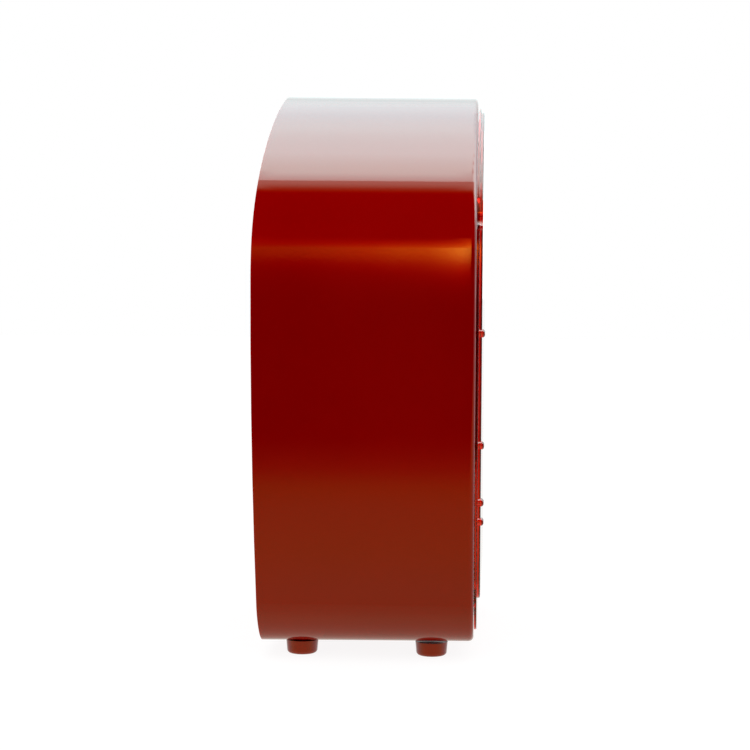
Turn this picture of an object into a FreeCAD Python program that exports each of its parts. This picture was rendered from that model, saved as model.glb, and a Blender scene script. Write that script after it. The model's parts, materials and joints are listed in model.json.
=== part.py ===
"""Key-wound mechanical metronome: moulded arch case, lift-off front cover, pendulum and clockwork.

Frame: +Z up with the feet on z = 0, the front faces -Y, the winding key is on the +X side.
The origin is the middle of the case's footprint, on the standing plane.
"""
import FreeCAD, Part
import math
import os
import Sketcher
from FreeCAD import Placement, Rotation, Vector

os.makedirs("parts", exist_ok=True)
doc = FreeCAD.newDocument("Metronome")

# ---------------------------------------------------------------- driving dimensions

DIMENSIONS = [
    # case outline, seen from the front: straight sides, round shoulders, round crown
    ("case_half_width", 52.5),
    ("case_floor", 3.85),
    ("arch_spring", 113.5),
    ("shoulder_radius", 38.0),
    ("crown_radius", 54.6),
    ("corner_radius", 12.0),
    ("cavity_floor", 6.05),
    ("cavity_corner", 9.8),
    ("case_front", 30.5),
    ("case_back", 31.0),
    ("case_draft", 0.58),
    ("case_edge_fillet", 1.4),
    ("wall", 2.2),
    # the back rim is bowed: it leans forward towards the crown and, less, towards the floor
    ("rim_bow_height", 105.0),
    ("rim_upper_radius", 255.0),
    ("rim_lower_radius", 2100.0),
    # front opening and the screw posts behind it
    ("opening_inset", 8.0),
    ("opening_bottom", 52.0),
    ("opening_corner", 4.0),
    ("post_radius", 3.5),
    ("post_across", 46.8),
    ("post_low", 20.0),
    ("post_high", 105.0),
    ("post_front", 16.0),
    ("post_back", 22.5),
    ("pilot_radius", 1.0),
    ("pilot_depth", 9.0),
    # feet
    ("foot_height", 3.85),
    ("foot_top_radius", 4.55),
    ("foot_bottom_radius", 4.2),
    ("foot_fillet", 1.0),
    ("foot_across", 39.0),
    ("foot_front", 18.7),
    ("foot_back", 17.7),
    # front cover
    ("cover_gap", 0.1),
    ("cover_flange_inset", 3.5),
    ("cover_flange_bottom", 8.0),
    ("cover_flange_thickness", 0.7),
    ("cover_flange_fillet", 0.3),
    ("cover_panel_inset", 4.7),
    ("cover_panel_bottom", 16.6),
    ("cover_panel_rise", 0.9),
    ("cover_cavity_depth", 0.6),
    ("cover_corner", 7.0),
    ("cover_skirt_inset", 8.4),
    ("cover_skirt_inner_inset", 9.6),
    ("cover_skirt_bottom", 52.4),
    ("cover_skirt_inner_bottom", 53.6),
    ("cover_skirt_depth", 2.2),
    ("cover_skirt_corner", 3.6),
    ("scoop_radius", 5.4),
    ("scoop_across", 49.2),
    ("scoop_height", 123.6),
    ("scoop_depth", 4.0),
    ("pip_radius", 1.15),
    ("pip_across", 47.4),
    ("pip_rise", 0.8),
    ("pip_fillet", 0.7),
    ("pip_height_a", 90.4),
    ("pip_height_b", 59.7),
    ("pip_height_c", 44.0),
    ("pip_height_d", 38.7),
    # back cover
    ("back_cover_inset", 2.5),
    ("back_cover_thickness", 2.0),
    ("back_cover_corner", 9.4),
    ("back_cover_bottom", 7.0),
    ("cover_hole_radius", 1.15),
    ("slot_half_width", 1.0),
    ("slot_bottom", 60.0),
    ("slot_top", 84.0),
    ("slot_pitch", 6.0),
    # scale panel and scale
    ("panel_inset", 3.3),
    ("panel_bottom", 9.0),
    ("panel_thickness", 1.5),
    ("panel_corner", 7.0),
    ("scale_half_width", 13.0),
    ("scale_bottom", 58.0),
    ("scale_top", 146.0),
    ("scale_thickness", 0.6),
    # pendulum
    ("pivot_height", 46.0),
    ("pendulum_plane", 22.0),
    ("rod_half_width", 1.2),
    ("rod_half_thickness", 0.4),
    ("rod_bottom", 19.0),
    ("rod_top", 149.0),
    ("rod_slack", 0.02),
    ("arbor_radius", 1.25),
    ("running_gap", 0.04),
    ("hub_half_width", 4.0),
    ("hub_half_height", 4.5),
    ("hub_half_depth", 3.0),
    ("counterweight_radius", 9.0),
    ("counterweight_height", 28.5),
    ("bush_radius", 3.2),
    ("bush_length", 3.0),
    ("bush_flange_radius", 4.4),
    ("bush_flange_thickness", 0.6),
    ("pallet_reach", 3.0),
    ("pallet_half_thickness", 0.25),
    ("pallet_half_width", 1.3),
    ("pallet_angle", 64.0),
    ("bridge_back", 15.2),
    ("notch_start", 62.0),
    ("notch_end", 144.0),
    ("notch_count", 42.0),
    ("notch_depth", 0.3),
    ("hub_fillet", 1.5),
    ("counterweight_fillet", 0.8),
    ("pallet_collar_wall", 0.35),
    # bridge that carries the rear pendulum bush
    ("bridge_half_height", 6.0),
    ("bridge_foot_depth", 6.5),
    ("bridge_overhang", 5.0),
    ("bridge_corner", 3.0),
    ("bridge_screw_radius", 1.0),
    ("bridge_screw_head_radius", 1.7),
    ("bridge_screw_head_height", 1.1),
    ("bridge_screw_spread", 3.5),
    ("bridge_screw_set_back", 2.6),
    ("bridge_screw_slack", 0.05),
    # sliding weight
    ("weight_height", 100.0),
    ("weight_half_height", 8.0),
    ("weight_top_half_width", 8.2),
    ("weight_bottom_half_width", 6.0),
    ("weight_half_depth", 3.4),
    ("weight_slot_slack", 0.12),
    ("weight_pocket_depth", 1.3),
    ("weight_fillet", 0.7),
    ("leaf_thickness", 0.2),
    ("leaf_end_margin", 2.0),
    ("leaf_side_margin", 0.2),
    ("leaf_rod_gap", 0.03),
    ("leaf_wall_gap", 0.05),
    # going train: barrel, centre and escape arbors all run along X between two plates
    ("barrel_y", 2.0),
    ("barrel_z", 73.0),
    ("escape_y", 2.0),
    ("wheel_teeth", 48.0),
    ("pinion_teeth", 12.0),
    ("great_module", 0.64),
    ("escape_module", 0.42),
    ("wheel_addendum", 0.7),
    ("pinion_addendum", 0.8),
    ("gear_dedendum", 0.95),
    ("gear_pressure_angle", 20.0),
    ("gear_backlash", 0.1),
    ("gear_window_share", 0.27),
    ("centre_wheel_windows", 5.0),
    ("great_pinion_margin", 0.6),
    ("escape_pinion_margin", 0.3),
    ("shoulder_gap", 0.1),
    ("pivot_end", 0.3),
    ("escape_pivot_extra", 0.2),
    ("escape_arbor_step", 0.3),
    ("inner_plate_x", 8.0),
    ("outer_plate_x", 36.0),
    ("plate_thickness", 1.2),
    ("plate_front", -14.0),
    ("plate_back", 21.0),
    ("plate_bottom", 33.0),
    ("plate_top", 98.0),
    ("plate_corner", 4.0),
    ("spacer_radius", 2.5),
    ("spacer_margin", 3.5),
    ("movement_screw_radius", 1.2),
    ("movement_hole_radius", 1.3),
    ("boss_radius", 3.2),
    ("pivot_radius", 0.8),
    ("train_arbor_radius", 1.5),
    ("winding_arbor_radius", 2.5),
    ("winding_pivot_step", 0.6),
    ("winding_pivot_end", 0.4),
    ("winding_collar_step", 0.8),
    ("winding_collar_gap", 0.6),
    ("barrel_radius", 14.4),
    ("barrel_wall", 0.8),
    ("great_wheel_x", 13.5),
    ("great_wheel_thickness", 2.0),
    ("barrel_cap_x", 31.0),
    ("barrel_cap_thickness", 1.0),
    ("spring_strip", 0.35),
    ("spring_turns", 7.0),
    ("spring_inner_radius", 4.4),
    ("spring_wall_gap", 0.1),
    ("spring_side_gap", 0.6),
    ("spring_points_per_turn", 12.0),
    ("centre_wheel_x", 10.0),
    ("centre_wheel_thickness", 1.5),
    # crown-shaped escape wheel
    ("crown_teeth", 15.0),
    ("crown_radius_mean", 7.5),
    ("crown_half_rim", 0.9),
    ("crown_tip_x", 1.9),
    ("crown_tooth_depth", 2.3),
    ("crown_disc_x", 5.0),
    ("crown_phase", -3.0),
    ("crown_disc_thickness", 0.9),
    ("crown_hub_front", 0.4),
    ("crown_hub_back", 0.9),
    ("crown_hub_wall", 1.3),
    ("crown_gap_share", 0.97),
    ("crown_tip_relief", 0.01),
    ("crown_notch_half_depth", 3.0),
    ("crown_windows", 4.0),
    ("crown_window_radius", 1.25),
    ("crown_window_reach", 4.7),
    # ratchet and click, outside the outer plate
    ("ratchet_teeth", 12.0),
    ("ratchet_radius", 7.0),
    ("ratchet_depth", 1.2),
    ("ratchet_x", 37.6),
    ("ratchet_thickness", 1.8),
    ("click_pivot_y", -9.0),
    ("click_pivot_z", 9.3),
    ("click_eye_radius", 2.3),
    ("click_tip_gap", 0.4),
    ("click_stud_radius", 1.3),
    ("click_washer_radius", 2.0),
    ("click_washer_thickness", 0.8),
    ("click_rivet_radius", 0.9),
    ("click_wire_radius", 0.35),
    ("click_post_y", -11.0),
    ("click_post_z", 13.6),
    ("click_rest_y", -3.2),
    ("click_rest_z", 9.65),
    ("click_bend_y", -7.0),
    ("click_bend_z", 12.4),
    # key and its bush in the side wall
    ("key_bush_radius", 5.0),
    ("key_bush_x", 49.6),
    ("key_bush_flange_x", 52.4),
    ("key_bush_flange_radius", 6.6),
    ("key_bush_flange_depth", 0.9),
    ("key_bush_fillet", 0.4),
    ("key_bush_fit", 0.02),
    ("key_bush_bore_gap", 0.06),
    ("key_hub_x", 53.8),
    ("key_hub_length", 6.5),
    ("key_hub_radius", 3.8),
    ("key_wing_length", 11.5),
    ("key_wing_half_span", 11.0),
    ("key_wing_half_thickness", 1.3),
    ("key_hole_radius", 2.4),
    ("key_lobe_fillet", 0.9),
    ("key_nose_fillet", 1.2),
    ("key_socket_end", 1.0),
    ("key_lobe_inset", 0.6),
    ("key_wing_sink", 2.4),
    ("key_bridge_step", 0.2),
    ("key_nose_length", 1.5),
    # screws
    ("case_screw_head_radius", 2.2),
    ("case_screw_head_height", 1.4),
    ("case_screw_length", 8.0),
    ("movement_screw_head_radius", 2.3),
    ("movement_screw_head_height", 1.5),
    ("screw_fit", 0.02),
    ("seat_gap", 0.01),
    ("screw_end_gap", 1.0),
    # how far a cutting solid runs past the surface that it cuts
    ("overcut", 1.0),
]

sheet = doc.addObject("Spreadsheet::Sheet", "Dimensions")
for row, (alias, value) in enumerate(DIMENSIONS, 1):
    sheet.set("A%d" % row, alias)
    sheet.set("B%d" % row, str(value))
    sheet.setAlias("B%d" % row, alias)
doc.recompute()

SUBPARTS = []
X_AXIS = Vector(1, 0, 0)
Y_AXIS = Vector(0, 1, 0)
Z_AXIS = Vector(0, 0, 1)
ALONG_X = Rotation(Y_AXIS, 90)
ALONG_Y = Rotation(X_AXIS, -90)
SIDES = (-1, 1)
# The click's outline after its tip, as (along Y, up) from the ratchet's axis.
CLICK_TIP_LOW = 6.1
CLICK_TIP_HIGH = 7.7
CLICK_BACK = [(-5.0, 9.9), (-9.0, 11.4), (-10.6, 9.3), (-9.4, 7.4), (-5.2, 6.75)]


def size(alias):
    return float(sheet.get(alias))


def dim(alias):
    return "Dimensions." + alias


# ---------------------------------------------------------------- helpers: bodies and sketches

def make_body(label):
    body = doc.addObject("PartDesign::Body", label)
    body.Label = label
    SUBPARTS.append(body)
    return body


def origin_feature(body, role):
    return next(f for f in body.Origin.OriginFeatures if f.Role == role)


def make_sketch(body, role, offset="0"):
    """A sketch on one of the body's origin planes, moved along the plane's normal.

    XZ_Plane looks along +Y, so its normal is -Y and its axes are X and Z.
    YZ_Plane has the normal +X and its axes are Y and Z.
    """
    sketch = body.newObject("Sketcher::SketchObject", body.Name + "_sketch")
    sketch.AttachmentSupport = [(origin_feature(body, role), "")]
    sketch.MapMode = "FlatFace"
    sketch.setExpression("AttachmentOffset.Base.z", offset)
    return sketch


def bind(sketch, constraint, expression):
    index = sketch.addConstraint(constraint)
    sketch.setExpression("Constraints[%d]" % index, expression)


def add_circle(sketch, across, up, radius):
    """A circle whose centre and radius are (value, expression) pairs; a centre value of 0 is on the axis."""
    centre = Vector(across[0], up[0], 0)
    index = sketch.addGeometry(Part.Circle(centre, Z_AXIS, radius[0]), False)
    bind(sketch, Sketcher.Constraint("Radius", index, radius[0]), radius[1])
    place_point(sketch, index, 3, across, up)
    return index


def place_point(sketch, geometry, vertex, across, up):
    """Fix a vertex by its two distances from the sketch's origin."""
    if across[0]:
        bind(sketch, Sketcher.Constraint("DistanceX", -1, 1, geometry, vertex, across[0]), across[1])
    else:
        sketch.addConstraint(Sketcher.Constraint("PointOnObject", geometry, vertex, -2))
    if up[0]:
        bind(sketch, Sketcher.Constraint("DistanceY", -1, 1, geometry, vertex, up[0]), up[1])
    else:
        sketch.addConstraint(Sketcher.Constraint("PointOnObject", geometry, vertex, -1))


def named(alias, factor=1, plus=None, plus_factor=1):
    """A (value, expression) pair: factor * alias, and optionally + plus_factor * another alias."""
    value = factor * size(alias)
    expression = "%g * %s" % (factor, dim(alias))
    if plus:
        value += plus_factor * size(plus)
        expression += " + %g * %s" % (plus_factor, dim(plus))
    return value, expression


ZERO = (0, "0")


def add_polygon(sketch, points):
    """A closed outline of straight edges; each point is a pair of (value, expression) pairs."""
    count = len(points)
    first = None
    for i, (across, up) in enumerate(points):
        after = points[(i + 1) % count]
        start = Vector(across[0], up[0], 0)
        end = Vector(after[0][0], after[1][0], 0)
        index = sketch.addGeometry(Part.LineSegment(start, end), False)
        first = index if first is None else first
    for i in range(count):
        after = first + (i + 1) % count
        sketch.addConstraint(Sketcher.Constraint("Coincident", first + i, 2, after, 1))
    for i, (across, up) in enumerate(points):
        place_point(sketch, first + i, 1, across, up)


def add_rectangle(sketch, left, low, right, high):
    add_polygon(sketch, [(left, low), (right, low), (right, high), (left, high)])


def add_arch(sketch, inset, bottom, corner):
    """The case outline moved inwards by one alias, with its own bottom edge and bottom corner radius."""
    inset_value = size(inset) if inset else 0
    shrink = " - " + dim(inset) if inset else ""
    half = size("case_half_width") - inset_value
    shoulder = size("shoulder_radius") - inset_value
    crown = size("crown_radius") - inset_value
    spring = size("arch_spring")
    low = size(bottom)
    radius = size(corner)
    side = half - shoulder
    drop = math.sqrt((crown - shoulder) ** 2 - side ** 2)
    lean = math.atan2(side, drop)
    crown_centre = Vector(0, spring - drop, 0)
    quarter = math.pi / 2
    lines = [
        (Vector(-half + radius, low, 0), Vector(half - radius, low, 0)),
        (Vector(half, low + radius, 0), Vector(half, spring, 0)),
        (Vector(-half, spring, 0), Vector(-half, low + radius, 0)),
    ]
    arcs = [
        (Vector(half - radius, low + radius, 0), radius, -quarter, 0),
        (Vector(side, spring, 0), shoulder, 0, quarter - lean),
        (crown_centre, crown, quarter - lean, quarter + lean),
        (Vector(-side, spring, 0), shoulder, quarter + lean, math.pi),
        (Vector(-half + radius, low + radius, 0), radius, math.pi, math.pi + quarter),
    ]
    floor, right, left = [sketch.addGeometry(Part.LineSegment(*ends), False) for ends in lines]
    low_right, high_right, top, high_left, low_left = [
        sketch.addGeometry(Part.ArcOfCircle(Part.Circle(centre, Z_AXIS, r), start, end), False)
        for centre, r, start, end in arcs
    ]
    loop = [floor, low_right, right, high_right, top, high_left, left, low_left]
    for before, after in zip(loop, loop[1:] + loop[:1]):
        sketch.addConstraint(Sketcher.Constraint("Tangent", before, 2, after, 1))
    sketch.addConstraint(Sketcher.Constraint("Horizontal", floor))
    sketch.addConstraint(Sketcher.Constraint("Vertical", right))
    sketch.addConstraint(Sketcher.Constraint("Vertical", left))
    sketch.addConstraint(Sketcher.Constraint("PointOnObject", top, 3, -2))
    for arc in (low_right, low_left):
        bind(sketch, Sketcher.Constraint("Radius", arc, radius), dim(corner))
    for arc in (high_right, high_left):
        bind(sketch, Sketcher.Constraint("Radius", arc, shoulder), dim("shoulder_radius") + shrink)
    bind(sketch, Sketcher.Constraint("Radius", top, crown), dim("crown_radius") + shrink)
    half_expression = dim("case_half_width") + shrink
    bind(sketch, Sketcher.Constraint("DistanceX", -1, 1, right, 1, half), half_expression)
    bind(sketch, Sketcher.Constraint("DistanceX", left, 1, -1, 1, half), half_expression)
    bind(sketch, Sketcher.Constraint("DistanceY", -1, 1, floor, 1, low), dim(bottom))
    bind(sketch, Sketcher.Constraint("DistanceY", -1, 1, right, 2, spring), dim("arch_spring"))


def pad(body, sketch, length, reverse=False, taper=None):
    feature = body.newObject("PartDesign::Pad", body.Name + "_pad")
    feature.Profile = sketch
    feature.Reversed = reverse
    feature.setExpression("Length", length)
    if taper:
        feature.setExpression("TaperAngle", taper)
    doc.recompute()
    return feature


def pocket(body, sketch, length=None, reverse=False, taper=None, both_ways=False):
    """Cut a sketch into the body, and stop if it removed nothing."""
    before = body.Shape.Volume
    feature = body.newObject("PartDesign::Pocket", body.Name + "_pocket")
    feature.Profile = sketch
    feature.Reversed = reverse
    if length:
        feature.setExpression("Length", length)
    else:
        feature.Type = "ThroughAll"
    feature.Midplane = both_ways
    if taper:
        feature.setExpression("TaperAngle", taper)
    doc.recompute()
    if body.Shape.Volume > before - 1e-3:
        raise ValueError("a pocket in %s cut nothing" % body.Label)
    return feature


def fillet(body, base, radius, wanted):
    """Round the edges of the last feature for which wanted(edge) is true."""
    names = ["Edge%d" % (i + 1) for i, edge in enumerate(base.Shape.Edges) if wanted(edge)]
    feature = body.newObject("PartDesign::Fillet", body.Name + "_fillet")
    feature.Base = (base, names)
    feature.setExpression("Radius", radius)
    doc.recompute()
    return feature


def at_y(edge, y):
    """True for an edge that lies wholly in the plane at this y."""
    box = edge.BoundBox
    return abs(box.YMin - y) < 1e-3 and abs(box.YMax - y) < 1e-3


# ---------------------------------------------------------------- helpers: primitives

def put(feature, label):
    feature.Label = label
    SUBPARTS.append(feature)
    return feature


def cylinder(name, rotation, base, radius, length):
    """A Part::Cylinder; base is three expressions, radius and length one each."""
    feature = doc.addObject("Part::Cylinder", name)
    feature.Placement = Placement(Vector(), rotation)
    for axis, expression in zip("xyz", base):
        feature.setExpression("Placement.Base." + axis, expression)
    feature.setExpression("Radius", radius)
    feature.setExpression("Height", length)
    return feature


def box(name, corner, lengths):
    """A Part::Box; corner and lengths are three expressions each."""
    feature = doc.addObject("Part::Box", name)
    for axis, expression in zip("xyz", corner):
        feature.setExpression("Placement.Base." + axis, expression)
    for side, expression in zip(("Length", "Width", "Height"), lengths):
        feature.setExpression(side, expression)
    return feature


def solid_feature(label, shape):
    """A sub-part whose shape is computed from the sheet, left where the shape was placed."""
    feature = doc.addObject("Part::Feature", label)
    feature.Shape = shape
    feature.Placement = shape.Placement
    return put(feature, label)


def rod_x(start, end, radius, y=0, z=0):
    return Part.makeCylinder(radius, end - start, Vector(start, y, z), X_AXIS)


def rod_y(start, end, radius, x=0, z=0):
    return Part.makeCylinder(radius, end - start, Vector(x, start, z), Y_AXIS)


def slotted_screw(head_radius, head_height, shank_radius, length):
    """A pan-head screw along +Z: the head is below z = 0 and the shank above it."""
    head = Part.makeCylinder(head_radius, head_height, Vector(0, 0, -head_height))
    rim = [e for e in head.Edges if abs(e.BoundBox.ZMax + head_height) < 1e-6 and len(e.Vertexes) == 1]
    head = head.makeFillet(head_height * 0.45, rim)
    slot_width = head_radius * 0.3
    slot_depth = head_height * 0.5
    for turn in (0, 90):
        slot = Part.makeBox(head_radius * 1.3, slot_width, slot_depth)
        slot.translate(Vector(-head_radius * 0.65, -slot_width / 2, -head_height))
        slot.rotate(Vector(), Z_AXIS, turn)
        head = head.cut(slot)
    shank = Part.makeCylinder(shank_radius, length)
    return head.fuse(shank).removeSplitter()


def screws(label, shape, rotation, points):
    """Identical screws in one node, one solid each."""
    placed = []
    for point in points:
        copy = shape.copy()
        copy.Placement = Placement(point, rotation)
        placed.append(copy)
    return solid_feature(label, Part.makeCompound(placed))


# ---------------------------------------------------------------- case

POST_POINTS = [(side, height) for side in SIDES for height in ("post_low", "post_high")]


def make_case_shell():
    body = make_body("case_shell")
    outline = make_sketch(body, "XZ_Plane", "-" + dim("case_back"))
    add_arch(outline, None, "case_floor", "corner_radius")
    depth = "%s + %s" % (dim("case_front"), dim("case_back"))
    outer = pad(body, outline, depth, taper="-" + dim("case_draft"))
    front_y = -size("case_front")
    fillet(body, outer, dim("case_edge_fillet"), lambda edge: at_y(edge, front_y))

    cavity = make_sketch(body, "XZ_Plane", "-" + dim("case_back"))
    add_arch(cavity, "wall", "cavity_floor", "cavity_corner")
    cavity_depth = depth + " - " + dim("wall")
    pocket(body, cavity, cavity_depth, reverse=True, taper="-" + dim("case_draft"))

    opening = make_sketch(body, "XZ_Plane", dim("case_front"))
    add_arch(opening, "opening_inset", "opening_bottom", "opening_corner")
    pocket(body, opening, "2 * " + dim("wall"))

    posts = make_sketch(body, "XZ_Plane", "-" + dim("post_back"))
    for side, height in POST_POINTS:
        add_circle(posts, named("post_across", side), named(height), named("post_radius"))
    pad(body, posts, "%s + %s" % (dim("post_back"), dim("post_front")))
    for offset, reverse in (("-" + dim("post_back"), True), (dim("post_front"), False)):
        pilots = make_sketch(body, "XZ_Plane", offset)
        for side, height in POST_POINTS:
            add_circle(pilots, named("post_across", side), named(height), named("pilot_radius"))
        pocket(body, pilots, dim("pilot_depth"), reverse=reverse)

    bosses = make_sketch(body, "YZ_Plane", "%s + %s" % (dim("outer_plate_x"), dim("plate_thickness")))
    for y, z in SPACER_CORNERS:
        add_circle(bosses, y, z, named("boss_radius"))
    boss_length = "%s - %s - %s - %s" % tuple(
        dim(alias) for alias in ("case_half_width", "outer_plate_x", "plate_thickness", "wall")
    )
    pad(body, bosses, boss_length + " + 0.5 * " + dim("wall"))
    threads = make_sketch(body, "YZ_Plane", "%s + %s" % (dim("outer_plate_x"), dim("plate_thickness")))
    for y, z in SPACER_CORNERS:
        add_circle(threads, y, z, named("movement_screw_radius"))
    pocket(body, threads, dim("pilot_depth"), reverse=True)

    key_hole = make_sketch(body, "YZ_Plane", dim("case_half_width") + " + 1")
    add_circle(key_hole, named("barrel_y"), named("barrel_z"), named("key_bush_radius"))
    pocket(body, key_hole, "3 * " + dim("wall"))

    bow = make_sketch(body, "YZ_Plane")
    add_rim_bow(bow)
    pocket(body, bow, "3 * " + dim("case_half_width"), both_ways=True)
    return body


def add_rim_bow(sketch):
    """What the bowed back rim leaves off: outside two arcs that meet upright at the bow's height."""
    back = size("case_back")
    middle = size("rim_bow_height")
    upper = size("rim_upper_radius")
    lower = size("rim_lower_radius")
    top = size("arch_spring") + size("crown_radius")
    beyond = back + size("case_half_width")
    up = math.asin((top - middle) / upper)
    down = math.asin(middle / lower)
    upper_circle = Part.Circle(Vector(back - upper, middle, 0), Z_AXIS, upper)
    lower_circle = Part.Circle(Vector(back - lower, middle, 0), Z_AXIS, lower)
    upper_end = Vector(back - upper + upper * math.cos(up), top, 0)
    lower_end = Vector(back - lower + lower * math.cos(down), 0, 0)
    corners = [upper_end, Vector(beyond, top, 0), Vector(beyond, 0, 0), lower_end]
    pieces = [Part.ArcOfCircle(lower_circle, -down, 0), Part.ArcOfCircle(upper_circle, 0, up)]
    pieces += [Part.LineSegment(start, end) for start, end in zip(corners, corners[1:])]
    for piece in pieces:
        index = sketch.addGeometry(piece, False)
        sketch.addConstraint(Sketcher.Constraint("Block", index))


SPACER_CORNERS = [
    (named(y_alias, 1, "spacer_margin", y_sign), named(z_alias, 1, "spacer_margin", z_sign))
    for y_alias, y_sign in (("plate_front", 1), ("plate_back", -1))
    for z_alias, z_sign in (("plate_bottom", 1), ("plate_top", -1))
]


def make_feet():
    feet = []
    for side in SIDES:
        for y in (-size("foot_front"), size("foot_back")):
            foot = Part.makeCone(size("foot_bottom_radius"), size("foot_top_radius"), size("foot_height"))
            sole = [e for e in foot.Edges if e.BoundBox.ZMax < 1e-6]
            foot = foot.makeFillet(size("foot_fillet"), sole)
            foot.translate(Vector(side * size("foot_across"), y, 0))
            feet.append(foot)
    return solid_feature("feet", Part.makeCompound(feet))


def make_front_cover():
    """A flange on the case front, a raised hollow panel, and a skirt that drops into the opening.

    Four small studs stand in a column along the panel's -X edge.
    """
    body = make_body("front_cover")
    seat = "%s + %s" % (dim("case_front"), dim("cover_gap"))
    flange = make_sketch(body, "XZ_Plane", seat)
    add_arch(flange, "cover_flange_inset", "cover_flange_bottom", "cover_corner")
    plate = pad(body, flange, dim("cover_flange_thickness"))
    plate_y = -sum(size(alias) for alias in ("case_front", "cover_gap", "cover_flange_thickness"))
    fillet(body, plate, dim("cover_flange_fillet"), lambda edge: at_y(edge, plate_y))
    step = seat + " + " + dim("cover_flange_thickness")
    raised = make_sketch(body, "XZ_Plane", step)
    add_arch(raised, "cover_panel_inset", "cover_panel_bottom", "cover_corner")
    panel = pad(body, raised, dim("cover_panel_rise"))
    face_y = -sum(
        size(alias) for alias in ("case_front", "cover_gap", "cover_flange_thickness", "cover_panel_rise")
    )
    fillet(body, panel, "0.5 * " + dim("cover_panel_rise"), lambda edge: at_y(edge, face_y))

    skirt = make_sketch(body, "XZ_Plane", seat)
    add_arch(skirt, "cover_skirt_inset", "cover_skirt_bottom", "cover_skirt_corner")
    pad(body, skirt, dim("cover_skirt_depth"), reverse=True)
    inside = make_sketch(body, "XZ_Plane", "%s - %s" % (dim("case_front"), dim("cover_skirt_depth")))
    add_arch(inside, "cover_skirt_inner_inset", "cover_skirt_inner_bottom", "cover_skirt_corner")
    inside_depth = "%s + %s + %s" % (dim("cover_skirt_depth"), dim("cover_gap"), dim("cover_cavity_depth"))
    pocket(body, inside, inside_depth, reverse=True)

    scoops = make_sketch(body, "XZ_Plane", "%s - %s" % (seat, dim("overcut")))
    for side in SIDES:
        add_circle(scoops, named("scoop_across", side), named("scoop_height"), named("scoop_radius"))
    pocket(body, scoops, "%s + %s" % (dim("scoop_depth"), dim("overcut")), reverse=True)

    pips = make_sketch(body, "XZ_Plane", seat + " + 0.5 * " + dim("cover_flange_thickness"))
    for alias in ("pip_height_a", "pip_height_b", "pip_height_c", "pip_height_d"):
        add_circle(pips, named("pip_across", -1), named(alias), named("pip_radius"))
    pip_length = "0.5 * %s + %s + %s" % tuple(
        dim(alias) for alias in ("cover_flange_thickness", "cover_panel_rise", "pip_rise")
    )
    pip_pad = pad(body, pips, pip_length)
    tip_y = face_y - size("pip_rise")
    fillet(body, pip_pad, dim("pip_fillet"), lambda edge: at_y(edge, tip_y))
    return body


def make_back_cover():
    body = make_body("back_cover")
    outline = make_sketch(body, "XZ_Plane", "-" + dim("post_back"))
    add_arch(outline, "back_cover_inset", "back_cover_bottom", "back_cover_corner")
    pad(body, outline, dim("back_cover_thickness"), reverse=True)
    holes = make_sketch(body, "XZ_Plane", "-" + dim("post_back"))
    for side, height in POST_POINTS:
        add_circle(holes, named("post_across", side), named(height), named("cover_hole_radius"))
    pocket(body, holes, "2 * " + dim("back_cover_thickness"))
    slots = make_sketch(body, "XZ_Plane", "-" + dim("post_back"))
    for step in range(-3, 4):
        left = named("slot_pitch", step, "slot_half_width", -1)
        right = named("slot_pitch", step, "slot_half_width", 1)
        add_rectangle(slots, left, named("slot_bottom"), right, named("slot_top"))
    pocket(body, slots, "2 * " + dim("back_cover_thickness"))
    return body


def post_points(y):
    return [Vector(side * size("post_across"), y, size(height)) for side, height in POST_POINTS]


def make_case_screws():
    shank = size("pilot_radius") - size("screw_fit")
    shape = slotted_screw(
        size("case_screw_head_radius"), size("case_screw_head_height"), shank, size("case_screw_length"),
    )
    back = size("post_back") + size("back_cover_thickness") + size("seat_gap")
    screws("back_cover_screws", shape, Rotation(X_AXIS, 90), post_points(back))
    front = -size("post_front") - size("panel_thickness") - size("seat_gap")
    screws("panel_screws", shape, ALONG_Y, post_points(front))


# ---------------------------------------------------------------- scale panel

def make_scale_panel():
    body = make_body("scale_panel")
    outline = make_sketch(body, "XZ_Plane", dim("post_front"))
    add_arch(outline, "panel_inset", "panel_bottom", "panel_corner")
    pad(body, outline, dim("panel_thickness"))
    holes = make_sketch(body, "XZ_Plane", dim("post_front"))
    for side, height in POST_POINTS:
        add_circle(holes, named("post_across", side), named(height), named("cover_hole_radius"))
    add_circle(holes, ZERO, named("pivot_height"), named("bush_radius"))
    pocket(body, holes, "2 * " + dim("panel_thickness"), reverse=True)
    return body


def make_tempo_scale():
    plate = box(
        "tempo_scale",
        ("-" + dim("scale_half_width"),
         "-(%s + %s + %s)" % (dim("post_front"), dim("panel_thickness"), dim("scale_thickness")),
         dim("scale_bottom")),
        ("2 * " + dim("scale_half_width"), dim("scale_thickness"),
         "%s - %s" % (dim("scale_top"), dim("scale_bottom"))),
    )
    return put(plate, "tempo_scale")


# ---------------------------------------------------------------- pendulum

def pendulum_bush(label, flange_y, facing):
    """A flanged bush on the pendulum's axis; facing is +1 when its body runs towards +Y."""
    length = size("bush_length")
    flange = size("bush_flange_thickness")
    bore = size("arbor_radius") + size("running_gap")
    ends = sorted((flange_y, flange_y + facing * length))
    sleeve = rod_y(ends[0], ends[1], size("bush_radius"), 0, size("pivot_height"))
    rim_ends = sorted((flange_y, flange_y - facing * flange))
    rim = rod_y(rim_ends[0], rim_ends[1], size("bush_flange_radius"), 0, size("pivot_height"))
    hole = rod_y(ends[0] - length, ends[1] + length, bore, 0, size("pivot_height"))
    return solid_feature(label, sleeve.fuse(rim).removeSplitter().cut(hole))


def make_pendulum_arbor():
    arbor = cylinder(
        "pendulum_arbor", ALONG_Y,
        ("0", "-(%s - %s)" % (dim("pendulum_plane"), dim("rod_half_thickness")) + " + 0.05",
         dim("pivot_height")),
        dim("arbor_radius"),
        "%s + %s + 0.5" % (dim("pendulum_plane"), dim("bridge_back")),
    )
    return put(arbor, "pendulum_arbor")


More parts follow.
